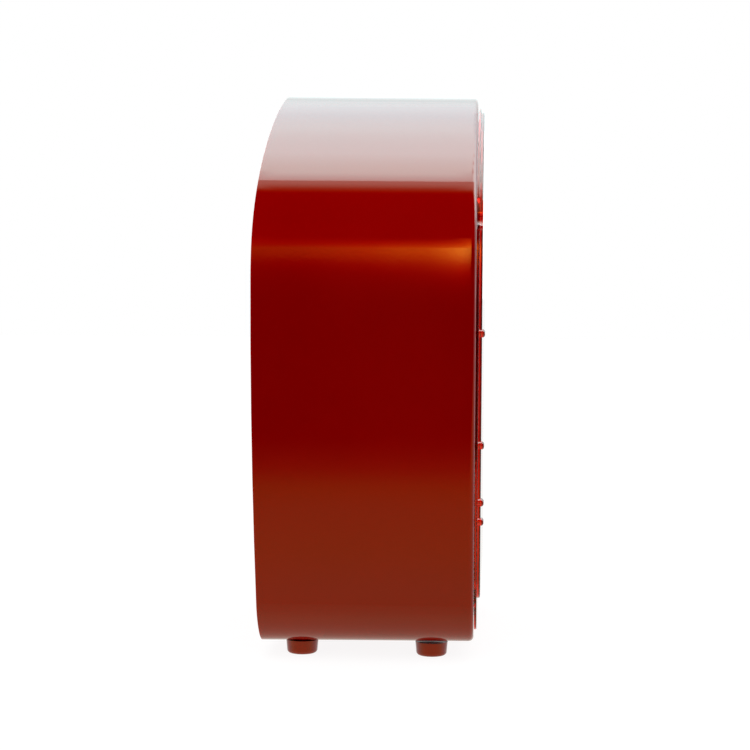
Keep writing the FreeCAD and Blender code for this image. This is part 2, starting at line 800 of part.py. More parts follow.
def make_pallet(label, y, angle):
    """A flag on the arbor, turned down (or up) from +X so that it clears the crown teeth at rest."""
    inner = size("arbor_radius")
    width = size("pallet_half_width")
    collar = rod_y(y - width, y + width, inner + size("pallet_collar_wall"))
    thickness = size("pallet_half_thickness")
    flag = Part.makeBox(size("pallet_reach"), 2 * width, 2 * thickness)
    flag.translate(Vector(0, y - width, -thickness))
    flag.rotate(Vector(), Y_AXIS, angle)
    bore = rod_y(y - 2 * width, y + 2 * width, inner)
    pallet = collar.fuse(flag).removeSplitter().cut(bore)
    pallet.translate(Vector(0, 0, size("pivot_height")))
    return solid_feature(label, pallet)


def rod_slot(slack=0.0):
    """The space the rod takes, with slack on every side."""
    half = size("rod_half_width") + slack
    depth = size("rod_half_thickness") + slack
    slot = Part.makeBox(2 * half, 2 * depth, size("rod_top"))
    slot.translate(Vector(-half, -size("pendulum_plane") - depth, 0))
    return slot


def make_rod_hub():
    half = size("hub_half_width")
    height = size("hub_half_height")
    depth = size("hub_half_depth")
    block = Part.makeBox(2 * half, 2 * depth, 2 * height)
    block.translate(Vector(-half, -size("pendulum_plane") - depth, size("pivot_height") - height))
    uprights = [e for e in block.Edges if abs(e.BoundBox.YLength - 2 * depth) < 1e-6]
    block = block.makeFillet(size("hub_fillet"), uprights)
    bore = rod_y(-size("pendulum_plane"), 0, size("arbor_radius"), 0, size("pivot_height"))
    return solid_feature("rod_hub", block.cut(rod_slot(size("rod_slack"))).cut(bore))


def make_counterweight():
    depth = size("hub_half_depth")
    plane = size("pendulum_plane")
    radius = size("counterweight_radius")
    disc = rod_y(-plane - depth, -plane + depth, radius, 0, size("counterweight_height"))
    rims = [e for e in disc.Edges if len(e.Vertexes) == 1]
    disc = disc.makeFillet(size("counterweight_fillet"), rims)
    return solid_feature("counterweight", disc.cut(rod_slot(size("rod_slack"))))


def make_pendulum_rod():
    """A flat steel strip with a row of shallow tempo notches down one edge."""
    body = make_body("pendulum_rod")
    plane_offset = "%s - %s" % (dim("pendulum_plane"), dim("rod_half_thickness"))
    strip = make_sketch(body, "XZ_Plane", plane_offset)
    left = named("rod_half_width", -1)
    right = named("rod_half_width")
    add_rectangle(strip, left, named("rod_bottom"), right, named("rod_top"))
    pad(body, strip, "2 * " + dim("rod_half_thickness"))
    notch = make_sketch(body, "XZ_Plane", plane_offset)
    low = size("notch_start")
    width = size("rod_half_width")
    bite = size("notch_depth")
    corners = [(width - bite, low), (width + bite, low - bite), (width + bite, low + bite)]
    for start, end in zip(corners, corners[1:] + corners[:1]):
        index = notch.addGeometry(Part.LineSegment(Vector(*start, 0), Vector(*end, 0)), False)
        notch.addConstraint(Sketcher.Constraint("Block", index))
    first = pocket(body, notch, "2 * " + dim("rod_half_thickness"), reverse=True)
    row = body.newObject("PartDesign::LinearPattern", "notch_row")
    row.Originals = [first]
    row.Direction = (origin_feature(body, "Z_Axis"), [""])
    row.setExpression("Length", "%s - %s" % (dim("notch_end"), dim("notch_start")))
    row.Occurrences = int(size("notch_count"))
    body.Tip = row
    doc.recompute()
    return body


def make_sliding_weight():
    """A trapezoid block, wide at the top, threaded by the rod, with a pocket for its leaf spring."""
    body = make_body("sliding_weight")
    profile = make_sketch(body, "XZ_Plane", "%s - %s" % (dim("pendulum_plane"), dim("weight_half_depth")))
    low = named("weight_height", 1, "weight_half_height", -1)
    high = named("weight_height", 1, "weight_half_height", 1)
    add_polygon(profile, [
        (named("weight_bottom_half_width", -1), low),
        (named("weight_bottom_half_width"), low),
        (named("weight_top_half_width"), high),
        (named("weight_top_half_width", -1), high),
    ])
    block = pad(body, profile, "2 * " + dim("weight_half_depth"))
    fillet(body, block, dim("weight_fillet"), lambda edge: True)
    slot = make_sketch(body, "XY_Plane", "%s - %s - 1" % (dim("weight_height"), dim("weight_half_height")))
    front = named("pendulum_plane", -1, "rod_half_thickness", -1)
    front = (front[0] - size("weight_slot_slack"), front[1] + " - " + dim("weight_slot_slack"))
    back = named("pendulum_plane", -1, "weight_pocket_depth", 1)
    left = named("rod_half_width", -1, "weight_slot_slack", -1)
    right = named("rod_half_width", 1, "weight_slot_slack", 1)
    add_rectangle(slot, left, front, right, back)
    pocket(body, slot, "2 * %s + 2" % dim("weight_half_height"), reverse=True)
    return body


def make_weight_spring():
    """A bowed leaf in the weight's pocket that presses on the back of the rod."""
    half_span = size("weight_half_height") - size("leaf_end_margin")
    near = -size("pendulum_plane") + size("rod_half_thickness") + size("leaf_rod_gap")
    far = -size("pendulum_plane") + size("weight_pocket_depth") - size("leaf_wall_gap")
    strip = size("leaf_thickness")
    height = size("weight_height")

    def bow(outset):
        ends = (far - strip + outset, height - half_span), (far - strip + outset, height + half_span)
        middle = (near + outset, height)
        points = [Vector(0, *ends[0]), Vector(0, *middle), Vector(0, *ends[1])]
        return Part.Arc(*points).toShape()

    inner = bow(0)
    outer = bow(strip)
    ends = [
        Part.makeLine(inner.Vertexes[i].Point, outer.Vertexes[i].Point) for i in (0, 1)
    ]
    face = Part.Face(Part.Wire(Part.__sortEdges__([inner, ends[0], outer, ends[1]])))
    half = size("rod_half_width") - size("leaf_side_margin")
    leaf = face.extrude(Vector(2 * half, 0, 0))
    leaf.translate(Vector(-half, 0, 0))
    return solid_feature("weight_spring", leaf)


def make_pendulum_bridge():
    """An angle bracket on the inner plate that carries the pendulum's rear bush."""
    plate = size("plate_thickness")
    face = size("inner_plate_x")
    front = size("bridge_back") - plate
    overhang = size("bridge_overhang")
    height = 2 * size("bridge_half_height")
    low = size("pivot_height") - size("bridge_half_height")
    foot = Part.makeBox(plate, size("bridge_foot_depth"), height, Vector(face - plate, front, low))
    arm = Part.makeBox(face + overhang, plate, height, Vector(-overhang, front, low))
    bracket = foot.fuse(arm).removeSplitter()
    corner = [
        e for e in bracket.Edges
        if abs(e.BoundBox.XMin + overhang) < 1e-6 and abs(e.BoundBox.XMax + overhang) < 1e-6
        and e.BoundBox.YLength > plate / 2
    ]
    bracket = bracket.makeFillet(size("bridge_corner"), corner)
    bracket = bracket.cut(rod_y(0, 2 * front, size("bush_radius"), 0, size("pivot_height")))
    screw_y = size("bridge_back") + size("bridge_screw_set_back")
    heights = [size("pivot_height") + side * size("bridge_screw_spread") for side in SIDES]
    hole = size("bridge_screw_radius") + size("bridge_screw_slack")
    for z in heights:
        bracket = bracket.cut(rod_x(0, 2 * face, hole, screw_y, z))
    solid_feature("pendulum_bridge", bracket)
    screw = slotted_screw(
        size("bridge_screw_head_radius"), size("bridge_screw_head_height"),
        size("bridge_screw_radius"), 2 * plate,
    )
    points = [Vector(face - plate - size("seat_gap"), screw_y, z) for z in heights]
    screws("bridge_screws", screw, ALONG_X, points)
    return points


# ---------------------------------------------------------------- going train

def centre_axis():
    """The centre arbor's (y, z): where both gear pairs mesh, on the rear side of the barrel-escape line."""
    great = size("great_module") * (size("wheel_teeth") + size("pinion_teeth")) / 2
    small = size("escape_module") * (size("wheel_teeth") + size("pinion_teeth")) / 2
    span = size("barrel_z") - size("pivot_height")
    up = (small ** 2 - great ** 2 + span ** 2) / (2 * span)
    return size("escape_y") + math.sqrt(small ** 2 - up ** 2), size("pivot_height") + up


def involute(angle):
    return math.tan(angle) - angle


def gear(teeth, module, addendum, thickness, phase, bore, windows=0):
    """A spur gear about X from x = 0, with a tooth centred on the angle phase, measured from +Y to +Z."""
    pitch = module * teeth / 2
    pressure = math.radians(size("gear_pressure_angle"))
    base = pitch * math.cos(pressure)
    tip = pitch + addendum * module
    root = pitch - size("gear_dedendum") * module
    half = math.pi / (2 * teeth) * (1 - size("gear_backlash"))
    over = size("overcut")

    def half_angle(radius):
        reach = math.acos(min(1.0, base / radius))
        return half + involute(pressure) - involute(reach)

    def point(radius, angle):
        return Vector(0, radius * math.cos(angle), radius * math.sin(angle))

    edges = []
    step = 2 * math.pi / teeth
    for i in range(int(teeth)):
        middle = phase + i * step
        foot, flank, crest = half_angle(root), half_angle(pitch), half_angle(tip)
        rise = [point(root, middle - foot), point(pitch, middle - flank), point(tip, middle - crest)]
        fall = [point(tip, middle + crest), point(pitch, middle + flank), point(root, middle + foot)]
        after = point(root, middle + step - foot)
        edges.append(Part.Arc(*rise).toShape())
        edges.append(Part.makeLine(rise[2], fall[0]))
        edges.append(Part.Arc(*fall).toShape())
        edges.append(Part.makeLine(fall[2], after))
    disc = Part.Face(Part.Wire(edges)).extrude(Vector(thickness, 0, 0))
    disc = disc.cut(rod_x(-over, thickness + over, bore))
    for i in range(windows):
        turn = phase + 2 * math.pi * i / windows
        middle = (root + bore) / 2
        window = rod_x(-over, thickness + over, (root - bore) * size("gear_window_share"))
        window.translate(point(middle, turn))
        disc = disc.cut(window)
    return disc


def mesh_angle(start, end):
    return math.atan2(end[1] - start[1], end[0] - start[0])


def arbor(label, sections, y, z):
    """A turned shaft along X: sections are (end x, radius), beginning at a start x."""
    start = sections[0]
    shape = None
    for end, radius in sections[1:]:
        step = rod_x(start, end, radius, y, z)
        shape = step if shape is None else shape.fuse(step)
        start = end
    return solid_feature(label, shape.removeSplitter())


def make_train():
    barrel = (size("barrel_y"), size("barrel_z"))
    escape = (size("escape_y"), size("pivot_height"))
    centre = centre_axis()
    wheel_teeth = size("wheel_teeth")
    pinion_teeth = size("pinion_teeth")
    half_pitch = math.pi / pinion_teeth
    inner = size("inner_plate_x")
    outer = size("outer_plate_x")
    plate = size("plate_thickness")
    pivot = size("pivot_radius")
    shaft = size("train_arbor_radius")
    gap = size("running_gap")
    step = size("shoulder_gap")
    pivot_end = size("pivot_end")
    thin_shaft = shaft - size("escape_arbor_step")

    great_angle = mesh_angle(barrel, centre)
    great_x = size("great_wheel_x")
    great_thickness = size("great_wheel_thickness")
    winding_radius = size("winding_arbor_radius")
    great = gear(
        wheel_teeth, size("great_module"), size("wheel_addendum"), great_thickness,
        great_angle, winding_radius + gap,
    )
    great.translate(Vector(great_x, *barrel))
    solid_feature("great_wheel", great)
    make_barrel(barrel, great_x + great_thickness)

    great_margin = size("great_pinion_margin")
    pinion = gear(
        pinion_teeth, size("great_module"), size("pinion_addendum"), great_thickness + 2 * great_margin,
        great_angle + math.pi + half_pitch, shaft,
    )
    pinion.translate(Vector(great_x - great_margin, *centre))
    solid_feature("centre_pinion", pinion)

    centre_angle = mesh_angle(centre, escape)
    centre_x = size("centre_wheel_x")
    centre_thickness = size("centre_wheel_thickness")
    wheel = gear(
        wheel_teeth, size("escape_module"), size("wheel_addendum"), centre_thickness,
        centre_angle, shaft, int(size("centre_wheel_windows")),
    )
    wheel.translate(Vector(centre_x, *centre))
    solid_feature("centre_wheel", wheel)
    arbor("centre_arbor", [
        inner - pivot_end, (inner + plate + step, pivot), (outer - step, shaft),
        (outer + plate + pivot_end, pivot),
    ], *centre)

    escape_margin = size("escape_pinion_margin")
    escape_pinion = gear(
        pinion_teeth, size("escape_module"), size("pinion_addendum"), centre_thickness + 2 * escape_margin,
        centre_angle + math.pi + half_pitch, thin_shaft,
    )
    escape_pinion.translate(Vector(centre_x - escape_margin, *escape))
    solid_feature("escape_pinion", escape_pinion)
    disc_x = size("crown_disc_x")
    arbor("escape_arbor", [
        disc_x - size("crown_hub_front"), (inner - step, shaft),
        (inner + plate + step, pivot + size("escape_pivot_extra")),
        (outer - step, thin_shaft), (outer + plate + pivot_end, pivot),
    ], *escape)
    make_escape_wheel(escape, shaft)
    make_plates(barrel, centre, escape)


def make_barrel(axis, start):
    """A drum fixed to the great wheel, its cap, and the coiled mainspring sealed inside."""
    radius = size("barrel_radius")
    wall = size("barrel_wall")
    cap_x = size("barrel_cap_x")
    cap_thickness = size("barrel_cap_thickness")
    bore = size("winding_arbor_radius") + size("running_gap")
    over = size("overcut")
    cap_end = cap_x + cap_thickness
    drum = rod_x(start, cap_x, radius).cut(rod_x(start + wall, cap_x + over, radius - wall))
    drum = drum.cut(rod_x(start - over, start + wall + over, bore))
    drum.translate(Vector(0, *axis))
    solid_feature("barrel_drum", drum)
    cap = rod_x(cap_x, cap_end, radius).cut(rod_x(cap_x - over, cap_end + over, bore))
    cap.translate(Vector(0, *axis))
    solid_feature("barrel_cap", cap)

    strip = size("spring_strip")
    first = size("spring_inner_radius")
    last = radius - wall - strip - size("spring_wall_gap")
    turns = size("spring_turns")
    samples = int(turns * size("spring_points_per_turn"))

    def spiral(outset):
        points = []
        for i in range(samples + 1):
            angle = 2 * math.pi * turns * i / samples
            reach = first + (last - first) * i / samples + outset
            points.append(Vector(0, reach * math.cos(angle), reach * math.sin(angle)))
        curve = Part.BSplineCurve()
        curve.interpolate(points)
        return curve.toShape(), points

    inner, inner_points = spiral(0)
    outer, outer_points = spiral(strip)
    ends = [Part.makeLine(inner_points[i], outer_points[i]) for i in (0, -1)]
    face = Part.Face(Part.Wire(Part.__sortEdges__([inner, ends[0], outer, ends[1]])))
    side_gap = size("spring_side_gap")
    coil = face.extrude(Vector(cap_x - start - wall - 2 * side_gap, 0, 0))
    coil.translate(Vector(start + wall + side_gap, *axis))
    solid_feature("mainspring", coil)


def make_escape_wheel(axis, bore):
    """A disc with a rim of pointed teeth that stand towards the pendulum arbor."""
    mean = size("crown_radius_mean")
    half_rim = size("crown_half_rim")
    tip = size("crown_tip_x")
    disc_x = size("crown_disc_x")
    depth = size("crown_tooth_depth")
    teeth = int(size("crown_teeth"))
    over = size("overcut")
    disc_end = disc_x + size("crown_disc_thickness")
    rim = rod_x(tip, disc_end, mean + half_rim).cut(rod_x(tip - over, disc_x, mean - half_rim))
    rim = rim.cut(rod_x(tip, disc_end + over, bore))
    hub_start = disc_x - size("crown_hub_front")
    hub_end = disc_end + size("crown_hub_back")
    hub = rod_x(hub_start, hub_end, bore + size("crown_hub_wall"))
    hub = hub.cut(rod_x(hub_start - over, hub_end + over, bore))
    rim = rim.fuse(hub)
    half_gap = math.pi * mean / teeth * size("crown_gap_share")
    mouth = tip - size("crown_tip_relief")
    profile = [(mouth, -half_gap), (mouth, half_gap), (tip + depth, 0)]
    reach = size("crown_notch_half_depth")
    corners = [Vector(x, mean - reach, z) for x, z in profile]
    notch = Part.Face(Part.makePolygon(corners + corners[:1])).extrude(Vector(0, 2 * reach, 0))
    for i in range(teeth):
        turned = notch.copy()
        turned.rotate(Vector(), X_AXIS, 360.0 * i / teeth + size("crown_phase"))
        rim = rim.cut(turned)
    windows = int(size("crown_windows"))
    middle = size("crown_window_reach")
    for i in range(windows):
        turn = 2 * math.pi * i / windows
        window = rod_x(tip, disc_end + over, size("crown_window_radius"))
        window.translate(Vector(0, middle * math.cos(turn), middle * math.sin(turn)))
        rim = rim.cut(window)
    rim.translate(Vector(0, *axis))
    solid_feature("escape_wheel", rim)


def make_plates(barrel, centre, escape):
    """Two upright brass plates, their tubular spacers and the long screws that hold the movement."""
    gap = size("running_gap")
    pivot = size("pivot_radius") + gap
    bridge_holes = [(point.y, point.z, size("bridge_screw_radius")) for point in make_pendulum_bridge()]
    winding_pivot = size("winding_arbor_radius") - size("winding_pivot_step") + gap
    inner_holes = [(*barrel, winding_pivot), (*centre, pivot)]
    inner_holes += [(*escape, pivot + size("escape_pivot_extra"))] + bridge_holes
    stud = click_pivot()
    outer_holes = [(*barrel, size("winding_arbor_radius") + gap), (*centre, pivot), (*escape, pivot)]
    outer_holes += [(*stud, size("click_rivet_radius"))]
    plates = (("inner_plate", "inner_plate_x", inner_holes), ("outer_plate", "outer_plate_x", outer_holes))
    for label, x_alias, holes in plates:
        body = make_body(label)
        outline = make_sketch(body, "YZ_Plane", dim(x_alias))
        front, back, low, high = [
            named(alias) for alias in ("plate_front", "plate_back", "plate_bottom", "plate_top")
        ]
        add_rectangle(outline, front, low, back, high)
        sheet_pad = pad(body, outline, dim("plate_thickness"))
        thickness = size("plate_thickness")
        fillet(
            body, sheet_pad, dim("plate_corner"),
            lambda edge: abs(edge.BoundBox.XLength - thickness) < 1e-6,
        )
        drilled = make_sketch(body, "YZ_Plane", dim(x_alias))
        for y, z in SPACER_CORNERS:
            add_circle(drilled, y, z, named("movement_hole_radius"))
        pocket(body, drilled, "2 * " + dim("plate_thickness"), reverse=True)
        bearings = make_sketch(body, "YZ_Plane", dim(x_alias))
        for y, z, radius in holes:
            index = bearings.addGeometry(Part.Circle(Vector(y, z, 0), Z_AXIS, radius), False)
            bearings.addConstraint(Sketcher.Constraint("Block", index))
        pocket(body, bearings, "2 * " + dim("plate_thickness"), reverse=True)

    start = size("inner_plate_x") + size("plate_thickness")
    end = size("outer_plate_x")
    over = size("overcut")
    tubes = []
    for y, z in SPACER_CORNERS:
        tube = rod_x(start, end, size("spacer_radius"), y[0], z[0])
        tubes.append(tube.cut(rod_x(start - over, end + over, size("movement_hole_radius"), y[0], z[0])))
    solid_feature("plate_spacers", Part.makeCompound(tubes))
    length = end + size("plate_thickness") - size("inner_plate_x")
    length += size("pilot_depth") - size("screw_end_gap")
    shank = size("movement_screw_radius") - size("screw_fit")
    screw = slotted_screw(
        size("movement_screw_head_radius"), size("movement_screw_head_height"), shank, length,
    )
    points = [Vector(size("inner_plate_x") - size("seat_gap"), y[0], z[0]) for y, z in SPACER_CORNERS]
    screws("movement_screws", screw, ALONG_X, points)


# ---------------------------------------------------------------- winding

def make_winding():
    y = size("barrel_y")
    z = size("barrel_z")
    radius = size("winding_arbor_radius")
    inner = size("inner_plate_x")
    plate = size("plate_thickness")
    key_end = size("key_hub_x") + size("key_hub_length") - size("key_socket_end")
    arbor("winding_arbor", [
        inner - size("winding_pivot_end"),
        (inner + plate + size("shoulder_gap"), radius - size("winding_pivot_step")),
        (size("great_wheel_x") - size("winding_collar_gap"), radius + size("winding_collar_step")),
        (key_end, radius),
    ], y, z)
    make_ratchet_wheel()
    make_click()
    make_key_bush()
    make_winding_key()


def click_pivot():
    return size("barrel_y") + size("click_pivot_y"), size("barrel_z") + size("click_pivot_z")


def make_ratchet_wheel():
    """A saw-toothed wheel: one notch with an upright face, patterned round the arbor."""
    body = make_body("ratchet_wheel")
    rim = make_sketch(body, "YZ_Plane")
    add_circle(rim, ZERO, ZERO, named("ratchet_radius"))
    add_circle(rim, ZERO, ZERO, named("winding_arbor_radius"))
    pad(body, rim, dim("ratchet_thickness"))
    radius = size("ratchet_radius")
    root = radius - size("ratchet_depth")
    step = 2 * math.pi / size("ratchet_teeth")
    notch = make_sketch(body, "YZ_Plane")
    beyond = radius + size("overcut")
    corners = [Vector(0, root, 0), Vector(0, beyond, 0)]
    for reach, turn in ((beyond, step / 2), (radius, step)):
        corners.append(Vector(-reach * math.sin(turn), reach * math.cos(turn), 0))
    for start, end in zip(corners, corners[1:] + corners[:1]):
        index = notch.addGeometry(Part.LineSegment(start, end), False)
        notch.addConstraint(Sketcher.Constraint("Block", index))
    first = pocket(body, notch, "2 * " + dim("ratchet_thickness"), reverse=True)
    teeth = body.newObject("PartDesign::PolarPattern", "ratchet_teeth_row")
    teeth.Originals = [first]
    teeth.Axis = (origin_feature(body, "X_Axis"), [""])
    teeth.Angle = 360
    teeth.setExpression("Occurrences", dim("ratchet_teeth"))
    body.Tip = teeth
    for axis, alias in zip("xyz", ("ratchet_x", "barrel_y", "barrel_z")):
        body.setExpression("Placement.Base." + axis, dim(alias))
    doc.recompute()
    return body


def make_click():
    """The pawl that holds the ratchet, its pivot stud, and the wire spring that presses it down."""
    y0 = size("barrel_y")
    z0 = size("barrel_z")
    y, z = click_pivot()
    x = size("ratchet_x")
    thickness = size("ratchet_thickness")
    eye = size("click_eye_radius")
    tip = -size("click_tip_gap")
    outline = [(tip, CLICK_TIP_LOW), (tip, CLICK_TIP_HIGH)] + CLICK_BACK
    corners = [Vector(x, y0 + u, z0 + v) for u, v in outline]
    lever = Part.Face(Part.makePolygon(corners + corners[:1])).extrude(Vector(thickness, 0, 0))
    stud_radius = size("click_stud_radius")
    gap = size("running_gap")
    lever = lever.fuse(rod_x(x, x + thickness, eye, y, z)).removeSplitter()
    lever = lever.cut(rod_x(x - thickness, x + 2 * thickness, stud_radius + gap, y, z))
    solid_feature("click", lever)
    washer_x = x + thickness + 2 * gap
    washer_end = washer_x + size("click_washer_thickness")
    stud = rod_x(washer_x, washer_end, size("click_washer_radius"), y, z)
    stud = stud.fuse(rod_x(x - 4 * gap, washer_x + gap, stud_radius, y, z))
    stud = stud.fuse(rod_x(size("outer_plate_x"), x, size("click_rivet_radius"), y, z)).removeSplitter()
    solid_feature("click_stud", stud)

    middle = x + thickness / 2
    post_y = y0 + size("click_post_y")
    post_z = z0 + size("click_post_z")
    rest_on_lever = Vector(middle, y0 + size("click_rest_y"), z0 + size("click_rest_z"))
    bend = Vector(middle, y0 + size("click_bend_y"), z0 + size("click_bend_z"))
    curve = Part.Arc(rest_on_lever, bend, Vector(middle, post_y, post_z)).toShape()
    start = curve.FirstParameter
    ring = Part.makeCircle(size("click_wire_radius"), curve.valueAt(start), curve.tangentAt(start))
    spring = Part.Wire([curve]).makePipeShell([Part.Wire([ring])], True, False)
    plate_out = size("outer_plate_x") + size("plate_thickness")
    post = rod_x(plate_out, x + thickness, size("click_rivet_radius"), post_y, post_z)
    solid_feature("click_spring", spring.fuse(post).removeSplitter())


def make_key_bush():
    y = size("barrel_y")
    z = size("barrel_z")
    start = size("key_bush_x")
    flange = size("key_bush_flange_x")
    depth = size("key_bush_flange_depth")
    over = size("overcut")
    sleeve_radius = size("key_bush_radius") - size("key_bush_fit")
    sleeve = rod_x(start, flange + size("shoulder_gap"), sleeve_radius, y, z)
    rim = rod_x(flange, flange + depth, size("key_bush_flange_radius"), y, z)
    outer_rim = [e for e in rim.Edges if e.BoundBox.XMin > flange + depth / 2]
    rim = rim.makeFillet(size("key_bush_fillet"), outer_rim)
    bush = sleeve.fuse(rim).removeSplitter()
    bore = size("winding_arbor_radius") + size("key_bush_bore_gap")
    bush = bush.cut(rod_x(start - over, flange + depth + over, bore, y, z))
    solid_feature("key_bush", bush)


def make_winding_key():
    """A butterfly key: a round hub on the arbor and a flat wing with two rounded lobes and finger holes."""
    y = size("barrel_y")
    z = size("barrel_z")
    start = size("key_hub_x")
    length = size("key_hub_length")
    hub_radius = size("key_hub_radius")
    span = size("key_wing_half_span")
    half = size("key_wing_half_thickness")
    inset = size("key_lobe_inset")
    lobe = size("key_wing_length") / 2 - inset
    wing_x = start + length + lobe - size("key_wing_sink")
    lobes = []
    for side in SIDES:
        lobe_centre = side * (span - lobe)
        disc = Part.makeCylinder(lobe, 2 * half, Vector(wing_x, -half, lobe_centre), Y_AXIS)
        rims = [e for e in disc.Edges if len(e.Vertexes) == 1]
        lobes.append(disc.makeFillet(size("key_lobe_fillet"), rims))
    bridge_half = half - size("key_bridge_step")
    bridge = Part.makeBox(2 * (lobe - inset), 2 * bridge_half, 2 * (span - lobe))
    bridge.translate(Vector(wing_x - lobe + inset, -bridge_half, -(span - lobe)))
    hub = rod_x(start, start + length + size("key_nose_length"), hub_radius)
    nose = [e for e in hub.Edges if e.BoundBox.XMin > start + length]
    hub = hub.makeFillet(size("key_nose_fillet"), nose)
    key = hub.fuse([bridge] + lobes).removeSplitter()
    for side in SIDES:
        hole_centre = Vector(wing_x, -2 * half, side * (span - lobe))
        hole = Part.makeCylinder(size("key_hole_radius"), 4 * half, hole_centre, Y_AXIS)
        key = key.cut(hole)
    socket_end = start + length - size("key_socket_end")
    key = key.cut(rod_x(start - size("overcut"), socket_end, size("winding_arbor_radius")))
    key.translate(Vector(0, y, z))
    solid_feature("winding_key", key)


# ---------------------------------------------------------------- build, check and write

def main():
    make_case_shell()
    make_feet()
    make_front_cover()
    make_back_cover()
    make_case_screws()
    make_scale_panel()
    make_tempo_scale()
    panel_front = -size("post_front") - size("panel_thickness")
    pendulum_bush("front_pendulum_bush", panel_front, 1)
    pendulum_bush("rear_pendulum_bush", size("bridge_back"), -1)
    make_pendulum_arbor()
    crown = size("crown_radius_mean")
    make_pallet("front_pallet", size("escape_y") - crown, size("pallet_angle"))
    make_pallet("rear_pallet", size("escape_y") + crown, -size("pallet_angle"))
    make_rod_hub()
    make_counterweight()
    make_pendulum_rod()
    make_sliding_weight()
    make_weight_spring()
    make_train()
    make_winding()
    doc.recompute()
    for feature in doc.Objects:
        if {"Invalid", "Error"} & set(feature.State):
            raise ValueError("%s failed: %s" % (feature.Label, feature.State))
    for part in SUBPARTS:
        shape = part.Shape
        if shape.isNull() or not shape.isValid() or not shape.Solids:
            raise ValueError("%s has a bad shape" % part.Label)
        shape.exportStep("parts/%s.step" % part.Label)
        print("%-22s solids %d  volume %.1f mm3" % (part.Label, len(shape.Solids), shape.Volume))


main()
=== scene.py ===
"""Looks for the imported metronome: glossy ruby case, clear ruby cover, metal pendulum and movement."""
import json
import math

import bmesh
import bpy
from mathutils import Matrix, Vector


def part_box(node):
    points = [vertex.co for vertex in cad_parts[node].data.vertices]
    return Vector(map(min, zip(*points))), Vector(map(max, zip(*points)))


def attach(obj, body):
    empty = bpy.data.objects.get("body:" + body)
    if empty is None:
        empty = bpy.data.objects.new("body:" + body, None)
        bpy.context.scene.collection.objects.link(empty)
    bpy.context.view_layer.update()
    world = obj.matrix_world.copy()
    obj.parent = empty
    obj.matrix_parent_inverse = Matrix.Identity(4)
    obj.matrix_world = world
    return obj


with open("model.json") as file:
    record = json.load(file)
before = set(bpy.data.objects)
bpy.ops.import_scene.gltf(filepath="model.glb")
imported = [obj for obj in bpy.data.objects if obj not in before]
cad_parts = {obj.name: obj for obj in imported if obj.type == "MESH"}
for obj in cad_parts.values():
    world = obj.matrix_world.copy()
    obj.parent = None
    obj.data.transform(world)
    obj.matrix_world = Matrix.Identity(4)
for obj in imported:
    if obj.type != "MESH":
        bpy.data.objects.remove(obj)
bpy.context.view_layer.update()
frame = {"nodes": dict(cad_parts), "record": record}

NODES = frame["nodes"]
MM = 0.001

# ---------------------------------------------------------------- material helpers

# The Mix node's sockets for colours: its factor and two inputs, and its result.
MIX_COLOUR_INPUTS = (0, 6, 7)
MIX_COLOUR_OUTPUT = 2


def new_material(name):
    """An empty material with one Principled shader; returns it with its nodes, links and shader."""
    material = bpy.data.materials.new(name)
    material.use_nodes = True
    nodes = material.node_tree.nodes
    nodes.clear()
    output = nodes.new("ShaderNodeOutputMaterial")
    shader = nodes.new("ShaderNodeBsdfPrincipled")
    material.node_tree.links.new(shader.outputs["BSDF"], output.inputs["Surface"])
    return material, nodes, material.node_tree.links, shader


def object_coordinates(nodes, links, scale=(1, 1, 1)):
    """Coordinates of the surface point in the part's own frame, in metres, times a scale."""
    coordinates = nodes.new("ShaderNodeTexCoord")
    mapping = nodes.new("ShaderNodeMapping")
    mapping.inputs["Scale"].default_value = scale
    links.new(coordinates.outputs["Object"], mapping.inputs["Vector"])
    return mapping.outputs["Vector"]


def noise(nodes, links, vector, scale, detail):
    """Noise from 0 to 1, with about scale patches to the metre."""
    texture = nodes.new("ShaderNodeTexNoise")
    texture.inputs["Scale"].default_value = scale
    texture.inputs["Detail"].default_value = detail
    links.new(vector, texture.inputs["Vector"])
    return texture.outputs["Fac"]


def ramp(nodes, links, factor, stops):
    """A colour ramp; stops are (position, grey or colour)."""
    node = nodes.new("ShaderNodeValToRGB")
    elements = node.color_ramp.elements
    while len(elements) < len(stops):
        elements.new(0.5)
    for element, (position, value) in zip(elements, stops):
        element.position = position
        element.color = (value, value, value, 1) if isinstance(value, float) else (*value, 1)
    links.new(factor, node.inputs["Fac"])
    return node.outputs["Color"]


def mix_colour(nodes, links, factor, first, second, blend="MIX"):
    """Mix two colours, each a socket or a plain triple."""
    node = nodes.new("ShaderNodeMix")
    node.data_type = "RGBA"
    node.blend_type = blend
    for index, value in zip(MIX_COLOUR_INPUTS, (factor, first, second)):
        socket = node.inputs[index]
        if isinstance(value, bpy.types.NodeSocket):
            links.new(value, socket)
        elif isinstance(value, tuple):
            socket.default_value = (*value, 1)
        else:
            socket.default_value = value
    return node.outputs[MIX_COLOUR_OUTPUT]


def bump(nodes, links, height, distance, strength, below=None):
    """A bumped normal from a height, laid over another bumped normal where one is given."""
    node = nodes.new("ShaderNodeBump")
    node.inputs["Strength"].default_value = strength
    node.inputs["Distance"].default_value = distance
    links.new(height, node.inputs["Height"])
    if below:
        links.new(below, node.inputs["Normal"])
    return node.outputs["Normal"]


# ---------------------------------------------------------------- materials

RUBY = (0.192, 0.0, 0.0)
RUBY_DEEP = (0.172, 0.0, 0.0)
CLEAR = (0.46, 0.010, 0.006)
CLEAR_DEEP = (0.41, 0.008, 0.005)
CLEAR_SHARE = 0.92
CLEAR_IOR = 1.45
OPAQUE_IOR = 1.5
DUST = (0.45, 0.16, 0.14)
DUST_STRENGTH = 0.22
DUST_SPECKS = 260
HAZE = [(0.35, 0.022), (0.75, 0.05)]
SUBSURFACE_SHARE = 0.35
SUBSURFACE_DEPTH = 3 * MM
SUBSURFACE_RADIUS = (1.0, 0.03, 0.01)


